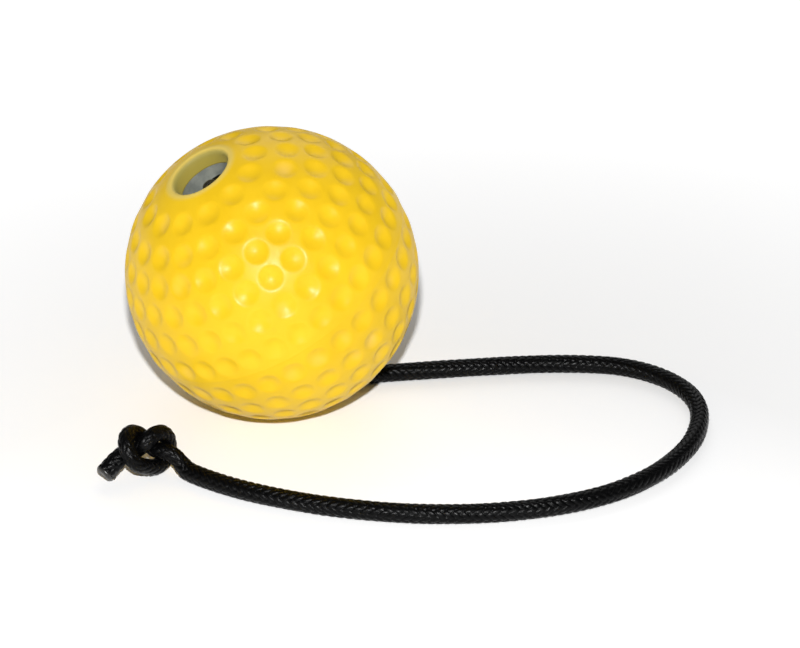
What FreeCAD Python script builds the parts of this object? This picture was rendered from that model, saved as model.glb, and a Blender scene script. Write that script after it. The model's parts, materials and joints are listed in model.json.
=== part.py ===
import FreeCAD, Part
import math
import os
import Sketcher
from FreeCAD import Placement, Rotation, Vector

# Ball on a cord that ends in a stopper knot at each end.
# Frame: millimetres, +Z up. The origin is where the ball touches the ground.
# The cord leaves the ball low on its +X +Y side, comes down to the ground and runs off roughly
# along +X, curving to the right (towards -Y). The ball's mouth is on the opposite, upper side.
# The cord is a sheath over a core, divided into lengths. Each length starts in a round nose
# that sits in the cup at the end of the length before it, so the two can bend at that hinge.

doc = FreeCAD.newDocument("ball_on_cord")

# ---------------------------------------------------------------- driving dimensions
# Degrees that each length on the ground turns to the right, in order from the ball.
RUN_TURNS = [1.1, 2.3, 11.5, 40.4, 48.2, 24.6, 20.6, 20.1, 13.2, 10.8, 9.8, 9.1, 14.6]
RUN_TAGS = ["%02d" % n for n in range(1, len(RUN_TURNS) + 1)]

CELLS = [
    # ball
    ("ball_radius", 36.5),
    ("cover_wall", 4.5),
    ("bond_gap", 0.02),  # between cover and core
    ("mouth_radius", 7.35),
    ("mouth_lip", 1.2),  # rounding of the mouth's rim
    ("recess_depth", 21.5),  # from the ball's surface to the knot's seat
    ("cord_hole_radius", 2.75),
    ("exit_lip", 0.7),  # rounding of the exit's rim
    ("seat_lip", 0.8),  # rounding of the cord hole's rim in the seat
    ("seam_height", 0.12),
    ("seam_width", 0.9),
    ("seam_root", 1.0),  # how deep the ridge starts below the surface
    # direction of the bore, out of the mouth
    ("bore_dir_x", -0.465),
    ("bore_dir_y", -0.19),
    ("bore_dir_z", 0.8647),
    # cord
    ("cord_radius", 2.375),
    ("core_radius", 1.45),
    ("core_gap", 0.02),
    ("cup_gap", 0.1),  # between a nose and its cup
    ("rim_back", 1.8),  # from a hinge back to the rim of its cup
    ("core_end_gap", 0.05),  # clearance at the end of a core
    ("knot_cord_radius", 2.04),
    ("knot_core_radius", 1.25),
    # bend at the exit and lengths on the ground
    ("run_length", 19.2),
    ("exit_floor_length", 6.0),
    ("turn_exit", 13.5),
    ("exit_hole_trim", 2.0),  # degrees of the bend left undrilled at the nose
    ("exit_core_trim", 2.5),  # degrees of the bend without core at the nose
    # cut ends
    ("tail_length", 5.0),
    ("tip_length", 0.9),
    ("tip_radius", 2.2),
    ("tip_gap", 0.01),  # between the cord's end and its tip
    ("tip_round_share", 0.8),  # rounding, as a share of the tip's length
    ("knot_tip_inset", 0.15),  # how much narrower than the knotted cord its tip is
] + [("turn_" + tag, turn) for tag, turn in zip(RUN_TAGS, RUN_TURNS)]

# The exit bend's radius follows from the bore's direction, because the cord has to come down
# from the exit hole onto the ground.
DERIVED = [
    (
        "bore_dir_len",
        "=sqrt(bore_dir_x * bore_dir_x + bore_dir_y * bore_dir_y + bore_dir_z * bore_dir_z)",
    ),
    ("exit_height", "=ball_radius - ball_radius * bore_dir_z / bore_dir_len"),
    ("exit_slope", "=asin(bore_dir_z / bore_dir_len) / 1 deg"),
    ("exit_bend_radius", "=(exit_height - cord_radius) / (1 - cos(exit_slope * 1 deg))"),
    ("exit_floor_radius", "=exit_floor_length * 180 / (pi * turn_exit)"),
    ("bore_length", "=2 * ball_radius - recess_depth"),  # from the exit to the seat
    ("cup_radius", "=cord_radius + cup_gap"),
    ("core_hole_radius", "=core_radius + core_gap"),
    ("core_setback", "=cup_radius + core_end_gap"),  # from a hinge to the core's end
] + [("bend_" + tag, "=run_length * 180 / (pi * turn_%s)" % tag) for tag in RUN_TAGS]

sheet = doc.addObject("Spreadsheet::Sheet", "dims")
sheet.Label = "dims"
for row, (alias, content) in enumerate(CELLS + DERIVED, start=1):
    sheet.set("A%d" % row, alias)
    sheet.set("B%d" % row, str(content))
    sheet.setAlias("B%d" % row, alias)
doc.recompute()


def val(alias):
    value = sheet.get(alias)
    return float(getattr(value, "Value", value))


def pointing(origin, direction):
    """A frame at origin whose local Z runs along direction."""
    return Placement(origin, Rotation(Vector(0, 0, 1), direction))


def headed(origin, degrees):
    """A frame at origin turned by degrees about the vertical."""
    return Placement(origin, Rotation(Vector(0, 0, 1), degrees))


BALL_RADIUS = val("ball_radius")
CORD_RADIUS = val("cord_radius")
RIM_BACK = val("rim_back")
BORE_AXIS = Vector(val("bore_dir_x"), val("bore_dir_y"), val("bore_dir_z"))
BORE_AXIS.normalize()  # out of the mouth
BALL_CENTRE = Vector(0, 0, BALL_RADIUS)
EXIT = BALL_CENTRE - BORE_AXIS * BALL_RADIUS  # where the cord leaves the ball
EXIT_HEADING = math.atan2(-BORE_AXIS.y, -BORE_AXIS.x)  # seen from above
EXIT_SLOPE = math.radians(val("exit_slope"))
EXIT_BEND = val("exit_bend_radius")

BALL_PLACE = pointing(BALL_CENTRE, BORE_AXIS)
BORE_PLACE = pointing(EXIT, BORE_AXIS)


# ---------------------------------------------------------------- sketches
def add_object(kind, label):
    thing = doc.addObject(kind, label)
    thing.Label = label
    return thing


def new_body(label):
    return add_object("PartDesign::Body", label)


def new_sketch(body, role, name):
    plane = [f for f in body.Origin.OriginFeatures if f.Role == role][0]
    sketch = body.newObject("Sketcher::SketchObject", name)
    sketch.AttachmentSupport = [(plane, "")]
    sketch.MapMode = "FlatFace"
    return sketch


def constrain(sketch, *constraint):
    return sketch.addConstraint(Sketcher.Constraint(*constraint))


def dimension(sketch, expression, *constraint):
    """Adds a constraint whose value is driven by the expression."""
    sketch.setExpression("Constraints[%d]" % constrain(sketch, *constraint), expression)


def line(start, end):
    return Part.LineSegment(Vector(*start, 0), Vector(*end, 0))


def half_circle(radius):
    circle = Part.Circle(Vector(0, 0, 0), Vector(0, 0, 1), radius)
    return Part.ArcOfCircle(circle, -math.pi / 2, math.pi / 2)


def circle_sketch(body, role, name, radius, across=None):
    """A circle at the sketch's origin, or at distance across on its horizontal axis."""
    sketch = new_sketch(body, role, name)
    sketch.addGeometry(Part.Circle(Vector(10, 0, 0), Vector(0, 0, 1), 2), False)
    dimension(sketch, radius, "Radius", 0, 2.0)
    if across is None:
        constrain(sketch, "Coincident", 0, 3, -1, 1)
    else:
        constrain(sketch, "PointOnObject", 0, 3, -1)
        dimension(sketch, across, "DistanceX", -1, 1, 0, 3, 10.0)
    return sketch


def half_disc(body, name, outer, inner=None):
    """Half of a disc, or of a ring, on the +X side of the XZ plane."""
    sketch = new_sketch(body, "XZ_Plane", name)
    outer_start, inner_start = 30.0, 20.0  # before the expressions take over
    if inner is None:
        outline = [half_circle(outer_start), line((0, outer_start), (0, -outer_start))]
        arcs = [(0, outer, outer_start)]
        joins = [(0, 2, 1, 1), (0, 1, 1, 2)]
        straights = [1]
    else:
        outline = [
            half_circle(outer_start),
            line((0, outer_start), (0, inner_start)),
            half_circle(inner_start),
            line((0, -inner_start), (0, -outer_start)),
        ]
        arcs = [(0, outer, outer_start), (2, inner, inner_start)]
        joins = [(0, 2, 1, 1), (1, 2, 2, 2), (2, 1, 3, 1), (3, 2, 0, 1)]
        straights = [1, 3]
    for piece in outline:
        sketch.addGeometry(piece, False)
    for arc, _, _ in arcs:
        constrain(sketch, "Coincident", arc, 3, -1, 1)
    for join in joins:
        constrain(sketch, "Coincident", *join)
    for straight in straights:
        constrain(sketch, "PointOnObject", straight, 1, -2)
        constrain(sketch, "PointOnObject", straight, 2, -2)
    for arc, radius, start in arcs:
        dimension(sketch, radius, "Radius", arc, start)
    return sketch


def seam_section(body):
    """A rectangle across the ball's surface, centred on the sketch's horizontal axis."""
    sketch = new_sketch(body, "XZ_Plane", "seam_profile")
    corners = [(36.0, -0.4), (37.0, -0.4), (37.0, 0.4), (36.0, 0.4)]
    for i in range(4):
        sketch.addGeometry(line(corners[i], corners[(i + 1) % 4]), False)
    for i in range(4):
        constrain(sketch, "Coincident", i, 2, (i + 1) % 4, 1)
    constrain(sketch, "Horizontal", 0)
    constrain(sketch, "Horizontal", 2)
    constrain(sketch, "Vertical", 1)
    constrain(sketch, "Symmetric", 0, 1, 2, 2, -1)
    crest = "dims.ball_radius + dims.seam_height"
    dimension(sketch, crest, "DistanceX", -1, 1, 1, 1, 37.0)
    root = "dims.ball_radius - dims.seam_root"
    dimension(sketch, root, "DistanceX", -1, 1, 0, 1, 36.0)
    dimension(sketch, "dims.seam_width", "DistanceY", 1, 1, 1, 2, 0.8)
    return sketch


# ---------------------------------------------------------------- features
def revolve(body, kind, sketch, name, angle="360", axis="V_Axis", reverse=False):
    feature = body.newObject("PartDesign::" + kind, name)
    feature.Profile = sketch
    feature.ReferenceAxis = (sketch, [axis])
    feature.setExpression("Angle", angle)
    feature.Reversed = reverse
    sketch.Visibility = False
    return feature


def nose(body, name, direction, x=None, z=None):
    """Adds the half ball that points along direction, centred at local x, z."""
    feature = body.newObject("PartDesign::AdditiveSphere", name)
    feature.setExpression("Radius", "dims.cord_radius")
    feature.Angle1 = 0
    feature.Placement = pointing(Vector(0, 0, 0), direction)
    for axis, position in (("x", x), ("z", z)):
        if position is not None:
            feature.setExpression("Placement.Base." + axis, position)


def cup(body, name, x, y):
    """Cuts the cup for the next length's nose, centred at local x, y."""
    feature = body.newObject("PartDesign::SubtractiveSphere", name)
    feature.setExpression("Radius", "dims.cup_radius")
    feature.setExpression("Placement.Base.x", x)
    feature.setExpression("Placement.Base.y", y)


def cut_round(body, name, radius, height=None):
    """Cuts a round hole along local Z, from height upwards, or right through."""
    sketch = circle_sketch(body, "XY_Plane", name + "_circle", radius)
    pocket = body.newObject("PartDesign::Pocket", name)
    pocket.Profile = sketch
    pocket.Type = "ThroughAll"
    if height is None:
        pocket.Midplane = True
    else:
        sketch.setExpression("AttachmentOffset.Base.z", height)
        pocket.Reversed = True
    sketch.Visibility = False


def pad_circle(body, sketch_name, pad_name, radius, length):
    sketch = circle_sketch(body, "XY_Plane", sketch_name, radius)
    pad = body.newObject("PartDesign::Pad", pad_name)
    pad.Profile = sketch
    pad.setExpression("Length", length)
    sketch.Visibility = False


def fillet_circles(body, name, fillet_radius, height, radius=None):
    """Rounds the circular edges at this local height, all of them or those of one radius."""
    doc.recompute()
    base = body.Tip
    near = 1e-3
    edges = []
    for i, edge in enumerate(base.Shape.Edges, start=1):
        curve = edge.Curve
        if not hasattr(curve, "Radius") or abs(curve.Center.z - height) > near:
            continue
        if radius is None or abs(curve.Radius - radius) < near:
            edges.append("Edge%d" % i)
    fillet = body.newObject("PartDesign::Fillet", name)
    fillet.Base = (base, edges)
    fillet.setExpression("Radius", fillet_radius)
    doc.recompute()


def volume_of(body):
    doc.recompute()
    return body.Shape.Volume


def volume_after_cut(body, before, what):
    """The body's volume, once it is certain that the last step took something off it."""
    after = volume_of(body)
    if not after < before - 1e-6:
        raise RuntimeError("%s cut nothing from %s" % (what, body.Label))
    return after


# ---------------------------------------------------------------- ball
# Cover and core are turned about the bore, which is local Z, with the ball's centre as origin.
def make_cover():
    body = new_body("ball_cover")
    inner = "dims.ball_radius - dims.cover_wall"
    ring = half_disc(body, "cover_ring", "dims.ball_radius", inner)
    revolve(body, "Revolution", ring, "cover_shell")
    shell = volume_of(body)
    # a low ridge round the middle, square to the bore
    revolve(body, "Revolution", seam_section(body), "seam_ridge")
    ridged = volume_of(body)
    if not ridged > shell:
        raise RuntimeError("the seam ridge added nothing")
    cut_round(body, "mouth", "dims.mouth_radius", "0")
    opened = volume_after_cut(body, ridged, "mouth")
    cut_round(body, "exit_hole", "dims.cord_hole_radius")
    volume_after_cut(body, opened, "exit_hole")

    for name, radius_alias, lip, side in (
        ("mouth_round", "mouth_radius", "dims.mouth_lip", 1),
        ("exit_round", "cord_hole_radius", "dims.exit_lip", -1),
    ):
        radius = val(radius_alias)
        height = side * math.sqrt(BALL_RADIUS**2 - radius**2)  # on the ball's surface
        fillet_circles(body, name, lip, height, radius)
    body.Placement = BALL_PLACE
    return body


def make_ball_core():
    body = new_body("ball_core")
    radius = "dims.ball_radius - dims.cover_wall - dims.bond_gap"
    revolve(body, "Revolution", half_disc(body, "core_disc", radius), "core_ball")
    solid = volume_of(body)
    # the recess for the stopper knot stops at a flat seat square to the bore
    cut_round(body, "knot_recess", "dims.mouth_radius", "dims.ball_radius - dims.recess_depth")
    recessed = volume_after_cut(body, solid, "knot_recess")
    cut_round(body, "cord_hole", "dims.cord_hole_radius")
    volume_after_cut(body, recessed, "cord_hole")
    seat_height = BALL_RADIUS - val("recess_depth")
    fillet_circles(body, "seat_round", "dims.seat_lip", seat_height, val("cord_hole_radius"))
    body.Placement = BALL_PLACE
    return body


# ---------------------------------------------------------------- cord inside the ball
# Local origin is the exit, local Z runs up the bore.
def make_bore_sheath():
    """The sheath from the exit to the seat, with a cup for the exit bend at its lower end."""
    rod = doc.addObject("Part::Cylinder", "bore_rod")
    rod.setExpression("Radius", "dims.cord_radius")
    rod.setExpression("Height", "dims.bore_length - dims.rim_back")
    rod.setExpression("Placement.Base.z", "dims.rim_back")
    cup_ball = doc.addObject("Part::Sphere", "bore_cup")
    cup_ball.setExpression("Radius", "dims.cup_radius")
    hole = doc.addObject("Part::Cylinder", "bore_hole")
    hole.setExpression("Radius", "dims.core_hole_radius")
    hole.setExpression("Height", "2 * dims.ball_radius")
    tools = doc.addObject("Part::MultiFuse", "bore_tools")
    tools.Shapes = [cup_ball, hole]
    sheath = add_object("Part::Cut", "bore_sheath")
    sheath.Base = rod
    sheath.Tool = tools
    doc.recompute()
    sheath.Placement = BORE_PLACE
    return sheath


def make_rod_core(label, height, place, start):
    """A straight core that begins at start on the local Z of place."""
    rod = add_object("Part::Cylinder", label)
    rod.setExpression("Radius", "dims.core_radius")
    rod.setExpression("Height", height)
    rod.Placement = place.multiply(Placement(Vector(0, 0, start), Rotation()))
    return rod


# ---------------------------------------------------------------- knots
# Centrelines of the two stopper knots, in cord diameters. Columns: along the local X that the
# cord arrives on, along local Y, along local Z.
INNER_KNOT_PATH = [
    (0.0000, 0.0000, 0.0000), (0.1664, 0.0000, 0.0000), (0.4993, 0.0000, 0.0000),
    (0.8296, -0.0258, -0.0157), (0.9851, -0.0741, -0.0488), (1.2430, -0.2444, -0.1603),
    (1.4459, -0.3941, -0.3668), (1.6653, -0.4140, -0.6106), (1.7829, -0.3748, -0.7232),
    (2.0263, -0.2184, -0.8919), (2.2649, 0.0072, -0.9578), (2.3733, 0.1355, -0.9478),
    (2.5509, 0.3995, -0.8430), (2.6559, 0.6439, -0.6394), (2.6823, 0.8281, -0.3609),
    (2.6712, 0.8826, -0.2021), (2.5942, 0.9164, 0.1224), (2.4450, 0.8551, 0.4162),
    (2.3499, 0.7900, 0.5388), (2.1374, 0.6003, 0.7155), (1.9231, 0.3519, 0.7851),
    (1.7257, 0.0798, 0.7699), (1.6278, -0.0566, 0.7596), (1.4319, -0.3294, 0.7390),
    (1.2271, -0.5895, 0.6844), (1.0096, -0.7914, 0.5281), (0.9057, -0.8613, 0.4156),
    (0.7281, -0.9286, 0.1395), (0.6132, -0.8957, -0.1736), (0.5844, -0.8430, -0.3308),
    (0.5778, -0.6635, -0.6136), (0.6417, -0.4091, -0.8220), (0.7857, -0.1301, -0.9389),
    (0.8819, 0.0066, -0.9576), (1.1071, 0.2504, -0.9120), (1.3512, 0.4256, -0.7642),
    (1.4721, 0.4782, -0.6598), (1.7026, 0.4892, -0.4214), (1.9099, 0.3677, -0.2008),
    (2.1303, 0.1605, -0.0747), (2.2696, 0.0808, -0.0372), (2.5888, 0.0001, 0.0013),
    (2.9217, 0.0000, 0.0000), (3.2545, 0.0000, 0.0000),
]
OUTER_KNOT_PATH = [
    (0.0000, 0.0000, 0.0000), (0.2553, 0.0049, 0.0667), (0.5223, 0.0082, 0.2400),
    (0.7520, 0.0371, 0.4603), (0.9794, 0.1031, 0.6748), (1.2405, 0.2088, 0.8214),
    (1.5324, 0.3321, 0.8481), (1.8374, 0.4208, 0.8350), (2.1505, 0.4279, 0.8731),
    (2.4389, 0.3886, 0.9972), (2.6798, 0.4207, 1.1960), (2.8431, 0.5674, 1.4223),
    (2.9325, 0.7921, 1.6253), (2.9471, 1.0711, 1.7721), (2.8837, 1.3717, 1.8443),
    (2.7537, 1.6593, 1.8350), (2.5774, 1.9017, 1.7371), (2.3799, 2.0612, 1.5500),
    (2.1875, 2.1275, 1.3084), (2.0175, 2.1006, 1.0435), (1.8898, 1.9721, 0.7856),
    (1.8282, 1.7455, 0.5750), (1.8145, 1.4789, 0.4040), (1.8181, 1.2107, 0.2346),
    (1.8252, 0.9358, 0.0769), (1.8295, 0.6366, -0.0259), (1.8329, 0.3211, -0.0436),
    (1.8435, 0.0190, 0.0461), (1.8605, -0.2325, 0.2362), (1.8757, -0.4015, 0.5019),
    (1.8845, -0.4607, 0.8116), (1.8900, -0.4141, 1.1240), (1.8965, -0.2709, 1.4054),
    (1.9083, -0.0396, 1.6194), (1.9281, 0.2540, 1.7332), (1.9570, 0.5682, 1.7389),
    (2.0014, 0.8625, 1.6343), (2.0942, 1.0962, 1.4446), (2.2677, 1.2300, 1.2177),
    (2.4992, 1.3314, 1.0276), (2.7511, 1.4921, 0.9264), (2.9589, 1.7182, 0.8527),
    (3.0429, 1.9807, 0.7038),
]

KNOT_SECTIONS = 80
RING_SPACING_MIN = 0.2  # between an end ring and its neighbour
KNOT_SHEATH_RADIUS = val("knot_cord_radius")
KNOT_CORE_RADIUS = val("knot_core_radius")
KNOT_HOLE_RADIUS = KNOT_CORE_RADIUS + val("core_gap")


def knot_curve(path):
    """The knot's centreline as a spline through the table's points."""
    spline = Part.BSplineCurve()
    spline.interpolate([Vector(*point) * (2 * CORD_RADIUS) for point in path])
    return spline


def cord_along(spline, radius, first=0.0, last=0.0):
    """A round cord along the centreline, ruled through rings square to it.
    It stops first millimetres after the centreline's start and last millimetres before its end.
    Every cord on one centreline has its rings at the same stations, so a core clears its sheath.
    """
    end = spline.length() - last
    inner = [spline.length() * i / KNOT_SECTIONS for i in range(1, KNOT_SECTIONS)]
    inner = [d for d in inner if first + RING_SPACING_MIN < d < end - RING_SPACING_MIN]
    rings = []
    across = None
    for distance in [first] + inner + [end]:
        parameter = spline.FirstParameter
        if distance > 0:
            parameter = spline.parameterAtDistance(distance, spline.FirstParameter)
        tangent = spline.tangent(parameter)[0]
        if across is None:
            across = tangent.cross(Vector(0.3, 0.2, 1.0))
        # carried from ring to ring, so that the rings' start points don't twist
        across = across - tangent * across.dot(tangent)
        across.normalize()
        circle = Part.Circle(spline.value(parameter), tangent, radius)
        circle.XAxis = across
        rings.append(Part.Wire([Part.Edge(circle)]))
    return Part.makeLoft(rings, True, True)


def shape_object(label, shape, place):
    thing = add_object("Part::Feature", label)
    thing.Shape = shape
    thing.Placement = place
    return thing


def make_tip(label, radius, place):
    """A low dome that closes a cut end of the cord. Local Z points out of the end."""
    body = new_body(label)
    pad_circle(body, label + "_circle", label + "_disc", radius, "dims.tip_length")
    rounding = "dims.tip_length * dims.tip_round_share"
    fillet_circles(body, label + "_round", rounding, val("tip_length"))
    body.Placement = place
    return body


def make_inner_knot():
    """The knot on the seat inside the ball: sheath, core and tip. Local X is up the bore."""
    seat = EXIT + BORE_AXIS * val("bore_length")
    place = Placement(seat, Rotation(Vector(1, 0, 0), BORE_AXIS))
    lead = 0.05  # clearance above the seat
    hole_overrun = 0.02  # the hole starts this far before the sheath
    curve = knot_curve(INNER_KNOT_PATH)
    sheath = cord_along(curve, KNOT_SHEATH_RADIUS, lead)
    sheath = sheath.cut(cord_along(curve, KNOT_HOLE_RADIUS, lead - hole_overrun))
    core = cord_along(curve, KNOT_CORE_RADIUS, lead)
    end = curve.value(curve.LastParameter)
    outward = curve.tangent(curve.LastParameter)[0]
    tip_place = place.multiply(pointing(end + outward * val("tip_gap"), outward))
    return [
        shape_object("inner_knot_sheath", sheath, place),
        shape_object("inner_knot_core", core, place),
        make_tip("inner_tip", "dims.knot_cord_radius - dims.knot_tip_inset", tip_place),
    ]


def make_end_knot(curve, place):
    """The knot at the free end: a sheath with a cup for the tail, and its core."""
    hole_start = 0.3  # undrilled start of the sheath
    hole_overrun = 0.3  # the hole runs this far past the sheath's end
    core_start = 0.35
    core_end_margin = 0.6  # between the cup and the core's end
    cup_radius = val("cup_radius")
    sheath = cord_along(curve, KNOT_SHEATH_RADIUS, 0.0, RIM_BACK)
    hole = cord_along(curve, KNOT_HOLE_RADIUS, hole_start, RIM_BACK - hole_overrun)
    sheath = sheath.cut(hole)
    sheath = sheath.cut(Part.makeSphere(cup_radius, curve.value(curve.LastParameter)))
    core = cord_along(curve, KNOT_CORE_RADIUS, core_start, cup_radius + core_end_margin)
    return [
        shape_object("end_knot_sheath", sheath, place),
        shape_object("end_knot_core", core, place),
    ]


# ---------------------------------------------------------------- bend at the exit
# Local origin is where the bend meets the ground, local X forward, Z up. The cord comes down
# the bore, turns level round an axis above it, then runs on along the ground to the right.
BEND_FOOT = Vector(
    EXIT.x + EXIT_BEND * math.sin(EXIT_SLOPE) * math.cos(EXIT_HEADING),
    EXIT.y + EXIT_BEND * math.sin(EXIT_SLOPE) * math.sin(EXIT_HEADING),
    CORD_RADIUS,
)
EXIT_PLACE = headed(BEND_FOOT, math.degrees(EXIT_HEADING))


def exit_section(body, name, radius, level):
    """The cord's section at the local origin, with a construction line to turn it about:
    upright on its right for the level part, or level above it for the drop."""
    sketch = new_sketch(body, "YZ_Plane", name)
    sketch.addGeometry(Part.Circle(Vector(0, 0, 0), Vector(0, 0, 1), 2), False)
    constrain(sketch, "Coincident", 0, 3, -1, 1)
    dimension(sketch, radius, "Radius", 0, 2.0)
    if level:
        sketch.addGeometry(line((-20, -5), (-20, 5)), True)
        constrain(sketch, "Vertical", 1)
        dimension(sketch, "dims.exit_floor_radius", "DistanceX", 1, 1, -1, 1, 20.0)
    else:
        sketch.addGeometry(line((-5, 20), (5, 20)), True)
        constrain(sketch, "Horizontal", 1)
        dimension(sketch, "dims.exit_bend_radius", "DistanceY", -1, 1, 1, 1, 20.0)
    return sketch


def exit_arc(body, kind, prefix, radius, angle, level):
    """Turns the section forward along the ground (level), or back up towards the ball."""
    sketch = exit_section(body, prefix + ("_level" if level else "_drop"), radius, level)
    name = prefix + ("_run" if level else "_bend")
    feature = revolve(body, kind, sketch, name, angle, axis="Axis0")

    def right_way():
        doc.recompute()
        middle = feature.Placement.multVec(feature.AddSubShape.CenterOfGravity)
        return middle.x > 0 if level else middle.x < 0

    if not right_way():
        feature.Reversed = True
        if not right_way():
            raise RuntimeError("%s of %s turns the wrong way" % (name, body.Label))


def exit_body(label, radius, floor_length, bend_angle):
    body = new_body(label)
    floor_angle = "(%s) / dims.exit_floor_length * dims.turn_exit" % floor_length
    exit_arc(body, "Revolution", label, radius, floor_angle, level=True)
    exit_arc(body, "Revolution", label, radius, bend_angle, level=False)
    return body


def make_exit_sheath():
    body = exit_body(
        "exit_sheath",
        "dims.cord_radius",
        "dims.exit_floor_length - dims.rim_back",
        "dims.exit_slope",
    )
    nose(
        body,
        "exit_nose",
        Vector(-math.cos(EXIT_SLOPE), 0, math.sin(EXIT_SLOPE)),  # up the bore
        x="-dims.exit_bend_radius * sin(dims.exit_slope * 1 deg)",
        z="dims.exit_bend_radius * (1 - cos(dims.exit_slope * 1 deg))",
    )
    volume = volume_of(body)
    bend_angle = "dims.exit_slope - dims.exit_hole_trim"
    for angle, level in (("dims.turn_exit", True), (bend_angle, False)):
        exit_arc(body, "Groove", "exit_hole", "dims.core_hole_radius", angle, level)
        volume = volume_after_cut(body, volume, "level hole" if level else "bend hole")
    cup(
        body,
        "exit_cup",
        "dims.exit_floor_radius * sin(dims.turn_exit * 1 deg)",
        "-dims.exit_floor_radius * (1 - cos(dims.turn_exit * 1 deg))",
    )
    volume_after_cut(body, volume, "exit_cup")
    body.Placement = EXIT_PLACE
    return body


def make_exit_core():
    body = exit_body(
        "exit_core",
        "dims.core_radius",
        "dims.exit_floor_length - dims.core_setback",
        "dims.exit_slope - dims.exit_core_trim",
    )
    body.Placement = EXIT_PLACE
    return body


# ---------------------------------------------------------------- lengths along the ground
# Each length is an arc that turns right by its own angle. Local origin is the centre of its
# bend, local X points from there to the length's start, and the cord runs towards -Y.
def advance(start, heading, length, right_deg):
    """Where an arc that turns right ends, its heading there, and the arc's centre."""
    radius = length / math.radians(right_deg)
    centre = start + Vector(math.sin(heading), -math.cos(heading), 0) * radius
    heading -= math.radians(right_deg)
    end = centre - Vector(math.sin(heading), -math.cos(heading), 0) * radius
    return end, heading, centre


def make_run_sheath(tag, place):
    name = "sheath_" + tag
    bend = "dims.bend_" + tag
    turn = "dims.turn_" + tag
    body = new_body(name)
    section = circle_sketch(body, "XZ_Plane", name + "_section", "dims.cord_radius", bend)
    angle = "%s / dims.run_length * (dims.run_length - dims.rim_back)" % turn
    arc = revolve(body, "Revolution", section, name + "_bend", angle, reverse=True)
    doc.recompute()
    if arc.Shape.CenterOfGravity.y > 0:
        arc.Reversed = False
        doc.recompute()
    nose(body, name + "_nose", Vector(0, 1, 0), x=bend)
    solid = volume_of(body)
    section = circle_sketch(
        body, "XZ_Plane", name + "_hole_section", "dims.core_hole_radius", bend
    )
    hole = revolve(body, "Groove", section, name + "_hole", turn, reverse=arc.Reversed)
    # a hole that took off too little ran the other way, outside the sheath
    if volume_of(body) > solid * 0.9:
        hole.Reversed = not arc.Reversed
    drilled = volume_after_cut(body, solid, "core hole")
    cup(
        body,
        name + "_cup",
        "%s * cos(%s * 1 deg)" % (bend, turn),
        "-%s * sin(%s * 1 deg)" % (bend, turn),
    )
    volume_after_cut(body, drilled, "cup")
    body.Placement = place
    return body


def make_run_core(tag, place):
    """A piece of a ring from just past the closed nose to just short of the cup."""
    ring = add_object("Part::Torus", "core_" + tag)
    ring.setExpression("Radius1", "dims.bend_" + tag)
    ring.setExpression("Radius2", "dims.core_radius")
    length = "(dims.run_length - dims.core_setback - dims.core_end_gap)"
    ring.setExpression("Angle3", "dims.turn_%s / dims.run_length * %s" % (tag, length))
    # the ring's angle is counted from its end at the cup
    run_length = val("run_length")
    to_cup = val("turn_" + tag) / run_length * (run_length - val("core_setback"))
    ring.Placement = place.multiply(headed(Vector(0, 0, 0), -to_cup))
    return ring


def make_run():
    """All lengths on the ground, with the point and the heading at which they end."""
    pieces = []
    point, heading, _ = advance(
        BEND_FOOT, EXIT_HEADING, val("exit_floor_length"), val("turn_exit")
    )
    for tag in RUN_TAGS:
        start_angle = math.degrees(heading) + 90
        point, heading, centre = advance(
            point, heading, val("run_length"), val("turn_" + tag)
        )
        place = headed(centre, start_angle)
        pieces += [make_run_sheath(tag, place), make_run_core(tag, place)]
    return pieces, point, heading


# ---------------------------------------------------------------- tail beyond the end knot
# Local origin is the tail's hinge, local Z runs along the tail to its cut end.
TAIL_AXIS = Vector(-0.05, 0.79, -0.61)  # in the knot's frame
TAIL_AXIS.normalize()


def make_tail_sheath(place):
    body = new_body("tail_sheath")
    pad_circle(body, "tail_section", "tail_rod", "dims.cord_radius", "dims.tail_length")
    nose(body, "tail_nose", Vector(0, 0, -1))
    solid = volume_of(body)
    section = circle_sketch(body, "XY_Plane", "tail_hole_section", "dims.core_hole_radius")
    hole = body.newObject("PartDesign::Pocket", "tail_hole")
    hole.Profile = section
    hole.setExpression("Length", "dims.tail_length")
    hole.Reversed = True
    section.Visibility = False
    volume_after_cut(body, solid, "tail hole")
    body.Placement = place
    return body


def make_tail(place):
    tip_start = Vector(0, 0, val("tail_length") + val("tip_gap"))
    core_height = "dims.tail_length - dims.core_end_gap"
    return [
        make_tail_sheath(place),
        make_rod_core("tail_core", core_height, place, val("core_end_gap")),
        make_tip("tail_tip", "dims.tip_radius", place.multiply(Placement(tip_start, Rotation()))),
    ]


# ---------------------------------------------------------------- assembly
nodes = [make_cover(), make_ball_core(), make_bore_sheath()]
bore_core_height = "dims.bore_length - dims.core_setback"
nodes.append(make_rod_core("bore_core", bore_core_height, BORE_PLACE, val("core_setback")))
nodes += make_inner_knot()
nodes += [make_exit_sheath(), make_exit_core()]
run_pieces, run_end, run_heading = make_run()
nodes += run_pieces
end_curve = knot_curve(OUTER_KNOT_PATH)
knot_place = headed(run_end, math.degrees(run_heading))
nodes += make_end_knot(end_curve, knot_place)
tail_hinge = end_curve.value(end_curve.LastParameter)
nodes += make_tail(knot_place.multiply(pointing(tail_hinge, TAIL_AXIS)))

# ---------------------------------------------------------------- checks and export
doc.recompute()
for thing in doc.Objects:
    bad = [state for state in thing.State if state in ("Invalid", "Error")]
    if bad:
        raise RuntimeError("%s is %s" % (thing.Name, bad))
for node in nodes:
    shape = node.Shape
    if shape.isNull() or not shape.isValid():
        raise RuntimeError("%s has no valid shape" % node.Label)
    if len(shape.Solids) != 1:
        raise RuntimeError("%s has %d solids" % (node.Label, len(shape.Solids)))

os.makedirs("parts", exist_ok=True)
for node in nodes:
    node.Shape.exportStep("parts/%s.step" % node.Label)
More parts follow.
